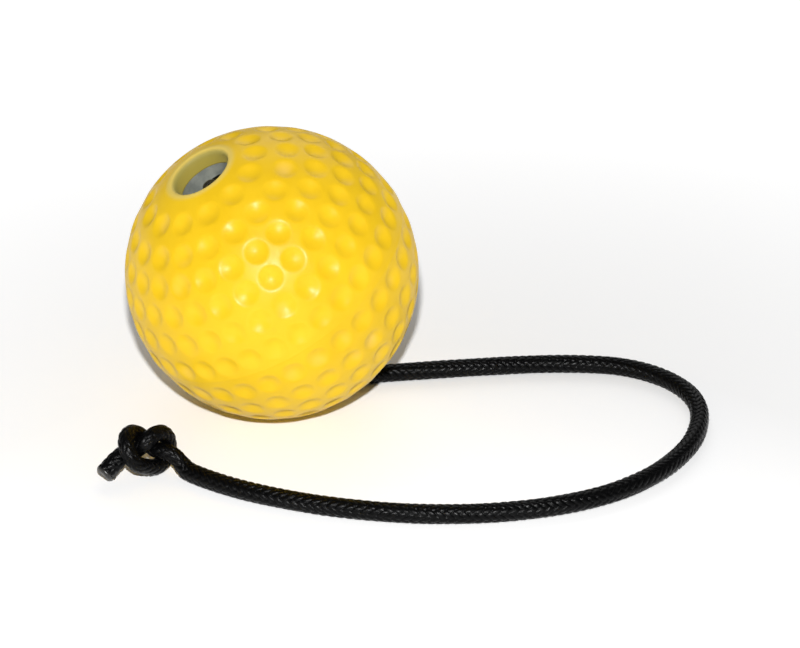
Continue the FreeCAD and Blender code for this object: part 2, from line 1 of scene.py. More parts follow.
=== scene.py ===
# A yellow dimpled rubber ball on a black braided cord, lying on the floor z = 0.
# The bore runs through the ball along AXIS, with a wide mouth at its +AXIS end and a narrow
# exit hole at the other. A knot sits inside the ball. From there the cord goes down the bore,
# bends onto the floor, runs over 14 hinges and ends in a second knot with a short tail.
# Lengths are in millimetres up to the making of each mesh; shaders and stage are in metres.
import json
import math

import bpy
import numpy as np
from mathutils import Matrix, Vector


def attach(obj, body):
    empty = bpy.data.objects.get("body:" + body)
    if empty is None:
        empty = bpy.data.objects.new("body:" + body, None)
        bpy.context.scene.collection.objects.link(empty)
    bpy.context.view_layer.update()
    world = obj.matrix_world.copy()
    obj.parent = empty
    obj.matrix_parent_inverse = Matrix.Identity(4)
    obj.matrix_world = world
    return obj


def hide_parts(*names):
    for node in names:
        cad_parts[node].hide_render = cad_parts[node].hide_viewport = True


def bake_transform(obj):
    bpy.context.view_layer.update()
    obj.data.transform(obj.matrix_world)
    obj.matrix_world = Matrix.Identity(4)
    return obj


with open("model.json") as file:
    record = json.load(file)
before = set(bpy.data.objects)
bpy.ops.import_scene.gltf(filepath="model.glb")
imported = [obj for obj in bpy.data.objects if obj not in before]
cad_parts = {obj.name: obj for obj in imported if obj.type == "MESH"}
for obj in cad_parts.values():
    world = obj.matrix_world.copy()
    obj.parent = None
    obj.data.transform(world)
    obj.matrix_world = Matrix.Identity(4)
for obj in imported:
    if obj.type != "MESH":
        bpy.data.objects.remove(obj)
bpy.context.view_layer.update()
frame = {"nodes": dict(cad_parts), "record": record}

MM = 0.001

# ---------------------------------------------------------------- places from the frame
joints = frame["record"]["behaviour"]["joints"]
spin = next(joint for joint in joints if joint["name"] == "ball_spin")
chain = [
    np.array(joint["pos_m"], float) / MM for joint in joints if joint["name"] != "ball_spin"
]
AXIS = np.array(spin["axis"], float)
AXIS /= np.linalg.norm(AXIS)
CENTRE = np.array(spin["pos_m"], float) / MM
EXIT = chain[0]  # where the cord leaves the ball
HINGES = chain[1:15]  # on the floor, from the ball outwards

# ---------------------------------------------------------------- sizes
BALL_RADIUS = 36.5
SHELL = 4.5  # thickness of the cover
SEAT_DEPTH = 21.5  # from the sphere at the mouth down to the inner knot's seat
MOUTH_RADIUS = 7.35
MOUTH_LIP = 1.2  # radius of the rounded edge
HOLE_RADIUS = 2.75
HOLE_LIP = 0.7

CORD_RADIUS = float(HINGES[0][2])
KNOT_CORD_RADIUS = 2.04  # the cord squeezed in a tight knot
TAIL_LENGTH = 5.0
PATH_STEP = 0.1  # between points of the traced centreline
RING_STEP = 0.2  # between rings of the cord's surface
RING_POINTS = 112
SEAT = CENTRE + AXIS * (BALL_RADIUS - SEAT_DEPTH)

# Centrelines of the two knots: x, y, z in cord diameters, entering along +X.
INNER_KNOT = [
    (0.0000, 0.0000, 0.0000), (0.1664, 0.0000, 0.0000), (0.4993, 0.0000, 0.0000),
    (0.8296, -0.0258, -0.0157), (0.9851, -0.0741, -0.0488), (1.2430, -0.2444, -0.1603),
    (1.4459, -0.3941, -0.3668), (1.6653, -0.4140, -0.6106), (1.7829, -0.3748, -0.7232),
    (2.0263, -0.2184, -0.8919), (2.2649, 0.0072, -0.9578), (2.3733, 0.1355, -0.9478),
    (2.5509, 0.3995, -0.8430), (2.6559, 0.6439, -0.6394), (2.6823, 0.8281, -0.3609),
    (2.6712, 0.8826, -0.2021), (2.5942, 0.9164, 0.1224), (2.4450, 0.8551, 0.4162),
    (2.3499, 0.7900, 0.5388), (2.1374, 0.6003, 0.7155), (1.9231, 0.3519, 0.7851),
    (1.7257, 0.0798, 0.7699), (1.6278, -0.0566, 0.7596), (1.4319, -0.3294, 0.7390),
    (1.2271, -0.5895, 0.6844), (1.0096, -0.7914, 0.5281), (0.9057, -0.8613, 0.4156),
    (0.7281, -0.9286, 0.1395), (0.6132, -0.8957, -0.1736), (0.5844, -0.8430, -0.3308),
    (0.5778, -0.6635, -0.6136), (0.6417, -0.4091, -0.8220), (0.7857, -0.1301, -0.9389),
    (0.8819, 0.0066, -0.9576), (1.1071, 0.2504, -0.9120), (1.3512, 0.4256, -0.7642),
    (1.4721, 0.4782, -0.6598), (1.7026, 0.4892, -0.4214), (1.9099, 0.3677, -0.2008),
    (2.1303, 0.1605, -0.0747), (2.2696, 0.0808, -0.0372), (2.5888, 0.0001, 0.0013),
    (2.9217, 0.0000, 0.0000), (3.2545, 0.0000, 0.0000),
]
OUTER_KNOT = [
    (0.0000, 0.0000, 0.0000), (0.2553, 0.0049, 0.0667), (0.5223, 0.0082, 0.2400),
    (0.7520, 0.0371, 0.4603), (0.9794, 0.1031, 0.6748), (1.2405, 0.2088, 0.8214),
    (1.5324, 0.3321, 0.8481), (1.8374, 0.4208, 0.8350), (2.1505, 0.4279, 0.8731),
    (2.4389, 0.3886, 0.9972), (2.6798, 0.4207, 1.1960), (2.8431, 0.5674, 1.4223),
    (2.9325, 0.7921, 1.6253), (2.9471, 1.0711, 1.7721), (2.8837, 1.3717, 1.8443),
    (2.7537, 1.6593, 1.8350), (2.5774, 1.9017, 1.7371), (2.3799, 2.0612, 1.5500),
    (2.1875, 2.1275, 1.3084), (2.0175, 2.1006, 1.0435), (1.8898, 1.9721, 0.7856),
    (1.8282, 1.7455, 0.5750), (1.8145, 1.4789, 0.4040), (1.8181, 1.2107, 0.2346),
    (1.8252, 0.9358, 0.0769), (1.8295, 0.6366, -0.0259), (1.8329, 0.3211, -0.0436),
    (1.8435, 0.0190, 0.0461), (1.8605, -0.2325, 0.2362), (1.8757, -0.4015, 0.5019),
    (1.8845, -0.4607, 0.8116), (1.8900, -0.4141, 1.1240), (1.8965, -0.2709, 1.4054),
    (1.9083, -0.0396, 1.6194), (1.9281, 0.2540, 1.7332), (1.9570, 0.5682, 1.7389),
    (2.0014, 0.8625, 1.6343), (2.0942, 1.0962, 1.4446), (2.2677, 1.2300, 1.2177),
    (2.4992, 1.3314, 1.0276), (2.7511, 1.4921, 0.9264), (2.9589, 1.7182, 0.8527),
    (3.0429, 1.9807, 0.7038),
]


# ---------------------------------------------------------------- the cord's centreline
def knot_curve(knot):
    """Natural cubic by chord length through a knot's points, sampled about every PATH_STEP."""
    p = np.array(knot) * (2 * CORD_RADIUS)
    t = np.r_[0, np.cumsum(np.linalg.norm(np.diff(p, axis=0), axis=1))]
    count = len(t)
    span = np.diff(t)
    matrix = np.zeros((count, count))
    rhs = np.zeros((count, 3))
    matrix[0, 0] = matrix[-1, -1] = 1
    for i in range(1, count - 1):
        before, after = span[i - 1], span[i]
        matrix[i, i - 1 : i + 2] = before, 2 * (before + after), after
        rhs[i] = 6 * ((p[i + 1] - p[i]) / after - (p[i] - p[i - 1]) / before)
    curve = np.linalg.solve(matrix, rhs)  # second derivatives at the points
    u = np.linspace(0, t[-1], int(round(t[-1] / PATH_STEP)) + 1)
    k = np.clip(np.searchsorted(t, u, side="right") - 1, 0, count - 2)
    a, b, h = (t[k + 1] - u)[:, None], (u - t[k])[:, None], span[k][:, None]
    cubic = curve[k] * a**3 / (6 * h) + curve[k + 1] * b**3 / (6 * h)
    return cubic + (p[k] / h - curve[k] * h / 6) * a + (p[k + 1] / h - curve[k + 1] * h / 6) * b


def smoothstep(x, low, high):
    t = np.clip((x - low) / (high - low), 0, 1)
    return t * t * (3 - 2 * t)


def turn_x_to(axis):
    """The smallest rotation that takes +X to this axis."""
    pole = np.cross([1.0, 0, 0], axis)
    angle = math.acos(axis[0])
    x, y, z = pole / np.linalg.norm(pole)
    cross = np.array([[0, -z, y], [z, 0, -x], [-y, x, 0]])
    return np.eye(3) + math.sin(angle) * cross + (1 - math.cos(angle)) * cross @ cross


def level_arc(start, heading, end):
    """Points of the level arc from start to just before end, and the heading at end."""
    count = int(float(np.linalg.norm(end - start)) / PATH_STEP)
    delta = end[:2] - start[:2]
    chord = math.atan2(delta[1], delta[0])
    turn = 2 * ((heading - chord + math.pi) % (2 * math.pi) - math.pi)
    points = []
    for i in range(count):
        f = i / count
        if abs(turn) < 1e-6:
            xy = start[:2] + delta * f
        else:
            radius = np.linalg.norm(delta) / (2 * math.sin(turn / 2))
            middle = start[:2] + radius * np.array([math.sin(heading), -math.cos(heading)])
            now = heading - turn * f
            xy = middle - radius * np.array([math.sin(now), -math.cos(now)])
        points.append(np.array([xy[0], xy[1], start[2]]))
    return points, heading - turn


def trace_cord():
    """Centreline from the inner knot's end to the tail's end, with the index of each mark."""
    index = {}
    inner = (knot_curve(INNER_KNOT) @ turn_x_to(AXIS).T + SEAT)[::-1]
    points = list(inner[:-1])
    index["seat"] = len(points)

    # straight down the bore
    length = float(np.linalg.norm(SEAT - EXIT))
    count = int(length / PATH_STEP)
    points += [SEAT - AXIS * (length * i / count) for i in range(count)]
    index["exit"] = len(points)

    # a bend in the bore's upright plane, down to the floor
    up = np.array([0.0, 0.0, 1.0])
    heading = math.atan2(-AXIS[1], -AXIS[0])
    outward = np.array([math.cos(heading), math.sin(heading), 0.0])
    slope = math.asin(AXIS[2])
    radius = (EXIT[2] - CORD_RADIUS) / (1 - math.cos(slope))
    foot = EXIT + outward * radius * math.sin(slope)
    foot[2] = CORD_RADIUS
    middle = foot + up * radius
    count = int(radius * slope / PATH_STEP)
    for i in range(count):
        angle = slope * (1 - i / count)
        points.append(
            middle - outward * radius * math.sin(angle) - up * radius * math.cos(angle)
        )
    index["foot"] = len(points)

    # over the floor from hinge to hinge, which are marked by their numbers
    here = foot
    for number, hinge in enumerate(HINGES, 1):
        arc, heading = level_arc(here, heading, hinge)
        points += arc
        index[number] = len(points)
        here = hinge

    c, s = math.cos(heading), math.sin(heading)
    turn = np.array([[c, -s, 0], [s, c, 0], [0, 0, 1.0]])
    outer = knot_curve(OUTER_KNOT) @ turn.T + HINGES[-1]
    points += list(outer)
    index["tail"] = len(points) - 1

    ahead = outer[-1] - outer[-3]
    ahead /= np.linalg.norm(ahead)
    count = int(TAIL_LENGTH / PATH_STEP)
    points += [outer[-1] + ahead * PATH_STEP * (i + 1) for i in range(count)]
    return np.array(points), index


trace, mark_index = trace_cord()
trace_s = np.r_[0, np.cumsum(np.linalg.norm(np.diff(trace, axis=0), axis=1))]
MARK = {name: float(trace_s[i]) for name, i in mark_index.items()}  # lengths along the cord
TOTAL = float(trace_s[-1])

RING_COUNT = int(round(TOTAL / RING_STEP)) + 1
RING_S = np.linspace(0, TOTAL, RING_COUNT)
LINE = np.stack([np.interp(RING_S, trace_s, trace[:, i]) for i in range(3)], 1)
# light smoothing so that joins between arcs don't show
for _ in range(6):
    LINE[1:-1] = 0.25 * LINE[:-2] + 0.5 * LINE[1:-1] + 0.25 * LINE[2:]
TANGENT = np.gradient(LINE, axis=0)
TANGENT /= np.linalg.norm(TANGENT, axis=1)[:, None]


def carry_side():
    """A side direction at each ring, carried along without twist."""
    side = np.zeros_like(LINE)
    v = np.cross(TANGENT[0], [0.3, 0.2, 1.0])  # any direction off the cord will do
    side[0] = v / np.linalg.norm(v)
    for i in range(1, RING_COUNT):
        v = side[i - 1] - TANGENT[i] * np.dot(side[i - 1], TANGENT[i])
        side[i] = v / np.linalg.norm(v)
    return side


SIDE = carry_side()
SIDE_2 = np.cross(TANGENT, SIDE)


def cord_radii():
    """Outside radius at each ring: the cord is squeezed where the knots are pulled tight."""
    squeeze = 1 - smoothstep(RING_S, MARK["seat"] - 1.5, MARK["seat"] + 1.0)
    tightens = smoothstep(RING_S, MARK[14] + 0.5, MARK[14] + 5.0)
    loosens = smoothstep(RING_S, MARK["tail"] - 2.2, MARK["tail"] + 1.5)
    squeeze += tightens * (1 - loosens)
    return CORD_RADIUS - (CORD_RADIUS - KNOT_CORD_RADIUS) * squeeze


# ---------------------------------------------------------------- braid
STRANDS = 8  # each way, over two and under two
LEAD = 16.24  # length of cord in which a strand goes once round
STRAND_HEIGHT = 0.34
WEAVE_HEIGHT = 0.15  # rise and fall of a strand as it goes over and under
WEAVE_SHARPNESS = 1.7
TWIST_LEAD = 170.0  # slow twist of the whole braid
SWAY, SWAY_LENGTH = 0.035, 23.0  # uneven twist, in turns, and its length scale
YARN_OFFSET = 0.165  # grooves between yarns, in strand widths from the middle
GROOVE_WIDTH = 0.035
GROOVE_DEPTH = 0.022
BLEND = 0.03  # softness of the line where two strands meet
STRETCH = 1.36  # length along a strand per length of cord, for the filament texture


def weave(phase):
    wave = np.tanh(WEAVE_SHARPNESS * np.cos(2 * np.pi * (phase - 0.5) / 4))
    return wave / math.tanh(WEAVE_SHARPNESS)


def strand_height(d):
    """Rounded section of a strand: three yarns side by side, with a fine groove between."""
    width = 1 - np.abs(2 * d * 0.99) ** 2.4
    groove = GROOVE_DEPTH * (
        np.exp(-(((d - YARN_OFFSET) / GROOVE_WIDTH) ** 2))
        + np.exp(-(((d + YARN_OFFSET) / GROOVE_WIDTH) ** 2))
    )
    return STRAND_HEIGHT * np.sqrt(np.clip(width, 0, 1)) - groove


def braid(theta, s):
    """Height against the cord's outside (0 or below, nearly), and the top strand's
    coordinates: across it, along it, and its number."""
    turns = theta / (2 * np.pi) - s / TWIST_LEAD - SWAY * np.sin(s / SWAY_LENGTH)
    u = (turns - s / LEAD) * STRANDS
    v = (turns + s / LEAD) * STRANDS - 0.5
    i, j = np.round(u), np.round(v)
    du, dv = u - i, v - j
    height_u = strand_height(du) + WEAVE_HEIGHT * weave(i + v)
    height_v = strand_height(dv) + WEAVE_HEIGHT * -weave(u + j)
    top = np.maximum(height_u, height_v)
    top = top + BLEND * np.log1p(np.exp(-np.abs(height_u - height_v) / BLEND))
    over = height_u > height_v
    across = np.where(over, du, dv)
    # offsets that give each strand its own stretch of texture
    along = s * STRETCH + np.where(over, i * 7.3, j * 5.1 + 40)
    number = np.where(over, i % STRANDS, STRANDS + j % STRANDS)
    return top - (STRAND_HEIGHT + WEAVE_HEIGHT), across, along, number


def braided_surface():
    """Points, normals and strand coordinates, by ring and by place round the ring."""
    theta = np.linspace(0, 2 * np.pi, RING_POINTS, endpoint=False)[None, :]
    height, *strand = braid(theta, RING_S[:, None])
    # the braid keeps its strand count where the cord is squeezed, so its relief shrinks too
    radius = cord_radii()[:, None]
    r = radius + height * (radius / CORD_RADIUS)
    outward = np.cos(theta)[..., None] * SIDE[:, None] + np.sin(theta)[..., None] * SIDE_2[:, None]
    points = LINE[:, None, :] + r[..., None] * outward
    around = np.roll(points, -1, axis=1) - np.roll(points, 1, axis=1)
    normals = np.cross(around, np.gradient(points, axis=0))
    normals /= np.maximum(np.linalg.norm(normals, axis=2), 1e-12)[..., None]
    if np.sign((normals * outward).sum(2)).mean() < 0:
        normals = -normals
    return points, normals, np.stack(strand, -1)


SURFACE, NORMALS, STRAND = braided_surface()


def add_mesh(name, verts, faces, material, normals=None, floats=None, vectors=None):
    """Smooth-shaded mesh from millimetres, with point attributes given as {name: values}."""
    mesh = bpy.data.meshes.new(name)
    mesh.from_pydata([tuple(v) for v in np.asarray(verts) * MM], [], faces)
    mesh.update()
    for polygon in mesh.polygons:
        polygon.use_smooth = True
    for kind, field, group in (("FLOAT", "value", floats), ("FLOAT_VECTOR", "vector", vectors)):
        for key, values in (group or {}).items():
            layer = mesh.attributes.new(key, kind, "POINT")
            layer.data.foreach_set(field, np.asarray(values, np.float32).ravel())
    if normals is not None:
        mesh.normals_split_custom_set_from_vertices([tuple(v) for v in normals])
    mesh.materials.append(material)
    ob = bpy.data.objects.new(name, mesh)
    bpy.context.scene.collection.objects.link(ob)
    return ob


# ---------------------------------------------------------------- materials
class Shader:
    """A material round one Principled BSDF. Inputs take a socket, a number or an RGB tuple."""

    def __init__(self, name):
        self.material = bpy.data.materials.new(name)
        self.material.use_nodes = True
        self.tree = self.material.node_tree
        self.tree.nodes.clear()
        output = self.node("OutputMaterial")
        self.bsdf = self.node("BsdfPrincipled")
        self.feed(output.inputs["Surface"], self.bsdf.outputs["BSDF"])

    def node(self, kind):
        return self.tree.nodes.new("ShaderNode" + kind)

    def feed(self, socket, value):
        if isinstance(value, bpy.types.NodeSocket):
            self.tree.links.new(value, socket)
        else:
            socket.default_value = (*value, 1) if isinstance(value, tuple) else value

    def set(self, name, value):
        self.feed(self.bsdf.inputs[name], value)

    def position(self):
        return self.node("TexCoord").outputs["Object"]

    def attribute(self, name, output="Fac"):
        n = self.node("Attribute")
        n.attribute_name = name
        return n.outputs[output]

    def mix(self, factor, a, b):
        n = self.node("Mix")
        n.data_type = "RGBA"
        for i, value in ((0, factor), (6, a), (7, b)):
            self.feed(n.inputs[i], value)
        return n.outputs[2]

    def math(self, operation, a, b, clamp=False):
        n = self.node("Math")
        n.operation = operation
        n.use_clamp = clamp
        self.feed(n.inputs[0], a)
        self.feed(n.inputs[1], b)
        return n.outputs[0]

    def times(self, a, b):
        return self.math("MULTIPLY", a, b)

    def tint(self, base, mask, strength, color):
        return self.mix(self.times(mask, strength), base, color)

    def remap(self, value, low, high, to_low=0.0, to_high=1.0, kind="SMOOTHSTEP"):
        n = self.node("MapRange")
        n.interpolation_type = kind
        for i, v in enumerate((value, low, high, to_low, to_high)):
            self.feed(n.inputs[i], v)
        return n.outputs[0]

    def noise(self, vector, scale, detail, roughness=0.55):
        n = self.node("TexNoise")
        n.inputs["Scale"].default_value = scale
        n.inputs["Detail"].default_value = detail
        n.inputs["Roughness"].default_value = roughness
        self.feed(n.inputs["Vector"], vector)
        return n.outputs["Fac"]

    def bump(self, height, strength, distance, normal=None):
        n = self.node("Bump")
        n.inputs["Strength"].default_value = strength
        n.inputs["Distance"].default_value = distance
        self.feed(n.inputs["Height"], height)
        if normal is not None:
            self.feed(n.inputs["Normal"], normal)
        return n.outputs["Normal"]


def cord_material():
    sh = Shader("braided_polyester_black")
    split = sh.node("SeparateXYZ")
    sh.feed(split.inputs[0], sh.attribute("strand", "Vector"))
    # filaments: long thin noise that runs with the strand, a little different in each one
    join = sh.node("CombineXYZ")
    frequencies = (26.0, 0.55, 3.7)  # across the strand, along it, from strand to strand
    for i, frequency in enumerate(frequencies):
        sh.feed(join.inputs[i], sh.times(split.outputs[i], frequency))
    filament = sh.noise(join.outputs[0], scale=1.0, detail=2.0, roughness=0.6)
    position = sh.position()
    patch = sh.noise(position, scale=160.0, detail=2.0)
    fuzz = sh.noise(position, scale=2600.0, detail=2.0)
    tone = sh.math("ADD", sh.times(filament, 0.75), sh.times(patch, 0.25))
    tone = sh.remap(tone, low=0.35, high=0.68)
    sh.set("Base Color", sh.mix(tone, (0.0005, 0.0005, 0.0006), (0.0020, 0.0021, 0.0022)))
    sh.set("Roughness", sh.remap(filament, low=0.3, high=0.7, to_low=0.22, to_high=0.36))
    sh.set("Specular IOR Level", 0.10)
    sh.set("Sheen Roughness", 0.4)
    sh.set("Sheen Tint", (0.75, 0.8, 0.9))
    normal = sh.bump(filament, strength=0.55, distance=0.00006)
    sh.set("Normal", sh.bump(fuzz, strength=0.15, distance=0.00004, normal=normal))
    return sh.material


def mottled_black(name, scale, dark, light, smoothest, roughest, strength, distance):
    """Black with one noise for colour, roughness and bump."""
    sh = Shader(name)
    mottle = sh.noise(sh.position(), scale=scale, detail=3.0)
    sh.set("Base Color", sh.mix(mottle, dark, light))
    sh.set("Roughness", sh.remap(mottle, low=0.3, high=0.7, to_low=smoothest, to_high=roughest))
    sh.set("Normal", sh.bump(mottle, strength=strength, distance=distance))
    return sh.material


def rubber_yellow():
    sh = Shader("moulded_rubber_yellow")
    position = sh.position()
    rim = sh.attribute("rim")
    bowl = sh.attribute("bowl")
    cloud = sh.noise(position, scale=45.0, detail=3.0)
    speck = sh.noise(position, scale=420.0, detail=2.0)
    fine = sh.noise(position, scale=2400.0, detail=3.0, roughness=0.6)
    clouds = sh.remap(cloud, low=0.3, high=0.7)
    base = sh.mix(clouds, (0.565, 0.358, 0.006), (0.615, 0.397, 0.010))
    # painted light: the dimples' bowls are painted a lighter yellow, standing in for the bright
    # middle of each lit dimple
    base = sh.tint(base, bowl, strength=0.25, color=(0.65, 0.435, 0.014))
    # dust that settles in some of the dimples
    dusty = sh.remap(sh.noise(position, scale=70.0, detail=1.0), low=0.60, high=0.72)
    base = sh.tint(base, sh.times(dusty, bowl), strength=0.35, color=(0.66, 0.45, 0.15))
    specks = sh.remap(speck, low=0.66, high=0.74)
    base = sh.tint(base, specks, strength=0.10, color=(0.45, 0.28, 0.01))
    # the ring round the mouth is paler than the rest of the skin, the bore's wall darker
    base = sh.tint(base, rim, strength=0.78, color=(0.53, 0.41, 0.105))
    # painted shade: the bore's wall, the inner edge of the mouth's lip and the exit hole are
    # darkened where light doesn't reach into them
    base = sh.tint(base, sh.attribute("wall"), strength=0.85, color=(0.235, 0.205, 0.050))
    sh.set("Base Color", base)
    roughness = sh.remap(speck, low=0.3, high=0.7, to_low=0.36, to_high=0.45)
    rim_roughness = sh.times(rim, 0.16)
    sh.set("Roughness", sh.math("ADD", roughness, rim_roughness, clamp=True))
    sh.set("Specular IOR Level", 0.20)
    sh.set("Diffuse Roughness", 0.3)
    normal = sh.bump(fine, strength=0.10, distance=0.00006)
    sh.set("Normal", sh.bump(speck, strength=0.08, distance=0.00015, normal=normal))
    return sh.material


def rubber_grey():
    sh = Shader("moulded_rubber_grey")
    position = sh.position()
    mottle = sh.noise(position, scale=260.0, detail=4.0)
    grain = sh.noise(position, scale=1900.0, detail=2.0)
    tone = sh.remap(mottle, low=0.35, high=0.65)
    sh.set("Base Color", sh.mix(tone, (0.13, 0.14, 0.125), (0.20, 0.21, 0.18)))
    sh.set("Roughness", sh.remap(mottle, low=0.3, high=0.7, to_low=0.5, to_high=0.68))
    normal = sh.bump(grain, strength=0.25, distance=0.0001)
    sh.set("Normal", sh.bump(mottle, strength=0.2, distance=0.0003, normal=normal))
    return sh.material


def floor_material():
    sh = Shader("pale_floor")
    sh.set("Base Color", (0.97, 0.97, 0.97))
    sh.set("Roughness", 0.75)
    sh.set("Specular IOR Level", 0.2)
    # the floor further out glows, so it stays as pale as the floor round the object
    away = sh.node("VectorMath")
    away.operation = "DISTANCE"
    sh.feed(away.inputs[0], sh.position())
    away.inputs[1].default_value = (0.04, -0.10, 0.0)  # middle of the unlit patch
    glow = sh.remap(
        away.outputs["Value"], low=0.13, high=0.42, to_low=0.0, to_high=0.78, kind="LINEAR"
    )
    sh.set("Emission Color", (1, 1, 1))
    sh.set("Emission Strength", glow)
    return sh.material


MAT_CORD = cord_material()
MAT_CORE = mottled_black(
    "core_strands_black", scale=900.0, dark=(0.012, 0.012, 0.012), light=(0.03, 0.03, 0.03),
    smoothest=0.6, roughest=0.8, strength=0.5, distance=0.0001,
)
MAT_MELT = mottled_black(
    "melted_end_black", scale=700.0, dark=(0.006, 0.006, 0.006), light=(0.022, 0.021, 0.019),
    smoothest=0.22, roughest=0.5, strength=0.4, distance=0.00015,
)
MAT_YELLOW = rubber_yellow()
MAT_GREY = rubber_grey()

# ---------------------------------------------------------------- ball cover
# Rows of dimples: degrees from the dimple axis, dimples in the row, degrees of the first one.
DIMPLE_ROWS = [
    (24.5, 13, 5.0), (37.0, 19, -3.9), (48.1, 24, 3.2), (59.3, 28, 3.5), (70.8, 31, 2.6),
    (82.9, 34, 1.4), (96.8, 33, 1.5), (109.1, 30, -1.6), (120.8, 27, -4.7), (132.2, 24, 2.0),
    (143.3, 19, -2.0), (155.0, 13, 6.0), (166.8, 7, 0.0),
]
DIMPLE_AXIS = np.array([-0.488, -0.199, 0.850])  # about a degree and a half off the bore
DIMPLE_AXIS /= np.linalg.norm(DIMPLE_AXIS)
DIMPLE_RADIUS = 2.95
DIMPLE_DEPTH = 1.0
DIMPLE_POWER = 1.75  # of the bowl's profile
DIMPLE_EDGE = 0.08  # softness of the edge
SEAM_HEIGHT, SEAM_WIDTH = 0.12, 0.33  # ridge round the ball's equator
COARSE, FINE = 240, 480  # points in a ring near the ends of the bore, and round the middle
FINE_FROM, FINE_TO = math.radians(44.5), math.radians(135.5)
SKIN_STEP = 0.43  # between rings of the skin


def basis(axis):
    """Columns: a direction near -Y, one square to it, and the axis."""
    x = np.array([0, -1.0, 0])
    x = x - axis * np.dot(x, axis)
    x /= np.linalg.norm(x)
    return np.stack([x, np.cross(axis, x), axis], 1)


def dimple_centres(bore_basis):
    """Unit directions of the dimples in the bore's frame."""
    centres = []
    for polar, count, first in DIMPLE_ROWS:
        t = math.radians(polar)
        for k in range(count):
            f = math.radians(first + 360.0 * k / count)
            centres.append((math.sin(t) * math.cos(f), math.sin(t) * math.sin(f), math.cos(t)))
    return np.array(centres) @ basis(DIMPLE_AXIS).T @ bore_basis


def dimple_depth(directions, centres):
    """Depth of the skin at unit directions, and how far into a bowl each one is, 0 to 1."""
    nearest = np.zeros(len(directions))
    chunk = 4000  # keeps the table of distances small
    for i in range(0, len(directions), chunk):
        nearest[i : i + chunk] = (directions[i : i + chunk] @ centres.T).max(1)
    r = BALL_RADIUS * np.arccos(np.clip(nearest, -1, 1))
    x = DIMPLE_DEPTH * (1 - (r / DIMPLE_RADIUS) ** DIMPLE_POWER)
    return DIMPLE_EDGE * np.logaddexp(0, x / DIMPLE_EDGE), np.clip(x / DIMPLE_DEPTH, 0, 1)


def cover_profile():
    """Closed profile as rings (points, radius, height along the bore, kind)."""
    rings = []

    def sphere(radius, angles, kind, points=COARSE):
        for t in angles:
            rings.append((points, radius * math.sin(t), radius * math.cos(t), kind))

    def skin_angles(start, end):
        return np.linspace(start, end, int((end - start) * BALL_RADIUS / SKIN_STEP))

    def lip_middle(hole, lip):
        return hole + lip, math.sqrt((BALL_RADIUS - lip) ** 2 - (hole + lip) ** 2)

    inside = BALL_RADIUS - SHELL
    # mouth wall, from the inside out, and its lip
    mouth_r, mouth_z = lip_middle(MOUTH_RADIUS, MOUTH_LIP)
    for z in np.linspace(math.sqrt(inside**2 - MOUTH_RADIUS**2), mouth_z, 9)[:-1]:
        rings.append((COARSE, MOUTH_RADIUS, z, "wall"))
    lip_end = math.atan2(mouth_z, mouth_r)
    for a in np.linspace(math.pi, lip_end, 15)[:-1]:
        r, z = mouth_r + MOUTH_LIP * math.cos(a), mouth_z + MOUTH_LIP * math.sin(a)
        rings.append((COARSE, r, z, "lip"))
    # skin, from the mouth to the exit hole
    hole_r, hole_z = lip_middle(HOLE_RADIUS, HOLE_LIP)
    hole_lip_start = math.atan2(hole_z, hole_r)
    sphere(BALL_RADIUS, skin_angles(math.pi / 2 - lip_end, FINE_FROM), "skin")
    sphere(BALL_RADIUS, skin_angles(FINE_FROM, FINE_TO)[1:-1], "skin", FINE)
    sphere(BALL_RADIUS, skin_angles(FINE_TO, math.pi / 2 + hole_lip_start), "skin")
    # lip and wall of the exit hole, from the outside in
    for a in np.linspace(-hole_lip_start, -math.pi, 9)[1:]:
        r, z = hole_r + HOLE_LIP * math.cos(a), -hole_z + HOLE_LIP * math.sin(a)
        rings.append((COARSE, r, z, "exit"))
    for z in np.linspace(-hole_z, -math.sqrt(inside**2 - HOLE_RADIUS**2), 6)[1:]:
        rings.append((COARSE, HOLE_RADIUS, z, "exit"))
    # back along the inside of the shell
    start = math.pi - math.asin(HOLE_RADIUS / inside)
    end = math.asin(MOUTH_RADIUS / inside)
    sphere(inside, np.linspace(start, end, 26)[1:-1], "inside")
    return rings


def stitch(counts):
    """Faces between neighbouring rings, the last joined to the first. Where the count
    doubles or halves, each coarse edge takes three triangles."""
    starts = np.r_[0, np.cumsum(counts)].tolist()
    faces = []
    for i, count in enumerate(counts):
        j = (i + 1) % len(counts)
        if count == counts[j]:
            k = np.arange(count)
            k2 = (k + 1) % count
            a, b = starts[i], starts[j]
            faces += np.stack([a + k, b + k, b + k2, a + k2], 1).tolist()
            continue
        widens = counts[j] > count
        coarse, fine = (i, j) if widens else (j, i)
        for k in range(counts[coarse]):
            c0 = starts[coarse] + k
            c1 = starts[coarse] + (k + 1) % counts[coarse]
            f0 = starts[fine] + 2 * k
            f2 = starts[fine] + (2 * k + 2) % counts[fine]
            for p, q, r in ((c0, f0, f0 + 1), (c0, f0 + 1, c1), (c1, f0 + 1, f2)):
                faces.append([p, q, r] if widens else [p, r, q])
    return faces


